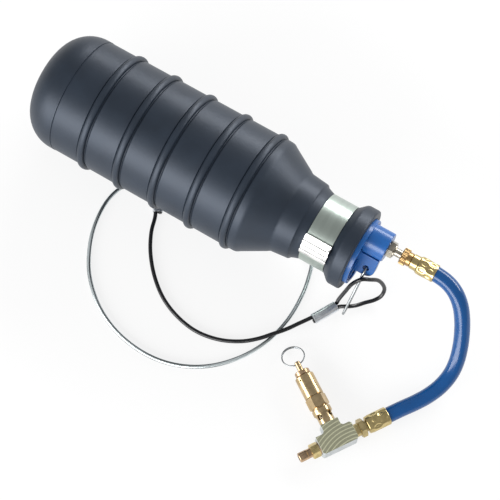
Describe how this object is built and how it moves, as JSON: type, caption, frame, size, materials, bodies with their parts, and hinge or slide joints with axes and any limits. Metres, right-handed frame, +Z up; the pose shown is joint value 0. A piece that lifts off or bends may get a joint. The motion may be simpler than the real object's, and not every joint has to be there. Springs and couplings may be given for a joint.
{
  "type": "inflatable pipe plug",
  "caption": "Ribbed rubber inflatable plug with a clamped end cap, an air hose to a tee with relief and inflation valves, and a rope lanyard.",
  "frame": {"origin": "on the floor, below the middle of the plug between its closed end and the end of its inlet nipple", "axes": "+X along the plug towards its capped end, +Z up, the lanyard and the tee on the -Y side"},
  "size_m": [0.3912, 0.2049, 0.0991],
  "materials": {
    "rubber": "moulded satin, blue-black",
    "band_steel": "rolled strip, light satin",
    "blue_plastic": "moulded, satin gloss",
    "nickel": "plated brass, machined and dull",
    "brass": "turned, bright",
    "ferrule_brass": "pressed, bright",
    "copper_brass": "turned, reddish",
    "steel": "drawn wire, plated",
    "aluminium": "pressed, light satin",
    "blue_hose": "extruded hose, satin gloss",
    "rope_coat": "black coating over wire rope",
    "coated_cable": "twisted wire under a clear coating"
  },
  "bodies": {
    "plug": {"rubber_sleeve": "rubber", "clamp_band": "band_steel", "band_seal": "band_steel", "end_cap": "blue_plastic", "inlet_nipple": "nickel", "swivel_nut": "brass", "hose_stem": "brass", "front_ferrule": "ferrule_brass", "air_hose": "blue_hose", "tee_block": "nickel", "hose_fitting": "brass", "rear_ferrule": "ferrule_brass", "valve_base": "brass", "valve_barrel": "brass", "valve_cap": "brass", "valve_spring": "steel", "inflation_valve": "copper_brass", "valve_core": "brass", "lanyard_rope": "rope_coat", "rope_ferrule_front": "aluminium", "rope_ferrule_rear": "aluminium", "ring_cable": "coated_cable", "ring_ferrule": "aluminium", "cap_link": "steel"},
    "relief_stem": {"valve_stem": "brass", "valve_disc": "brass"},
    "ring": {"pull_ring": "steel"},
    "inflation_pin": {"core_pin": "steel"}
  },
  "joints": [
    {"name": "relief_lift", "type": "slide", "parent": "plug", "child": "relief_stem", "axis": [-0.8387, 0.5446, 0], "range_m": [0, 0.0025], "stiffness_N_per_m": 400, "springref_m": -0.003, "deforming": ["valve_spring"]},
    {"name": "ring_swing", "type": "hinge", "parent": "relief_stem", "child": "ring", "pos_m": [0.12368, -0.09097, 0.008], "axis": [0.5446, 0.8387, 0], "range_deg": [0, 145]},
    {"name": "pin_press", "type": "slide", "parent": "plug", "child": "inflation_pin", "axis": [0.5446, 0.8387, 0], "range_m": [0, 0.0012], "stiffness_N_per_m": 20, "springref_m": -0.004}
  ]
}
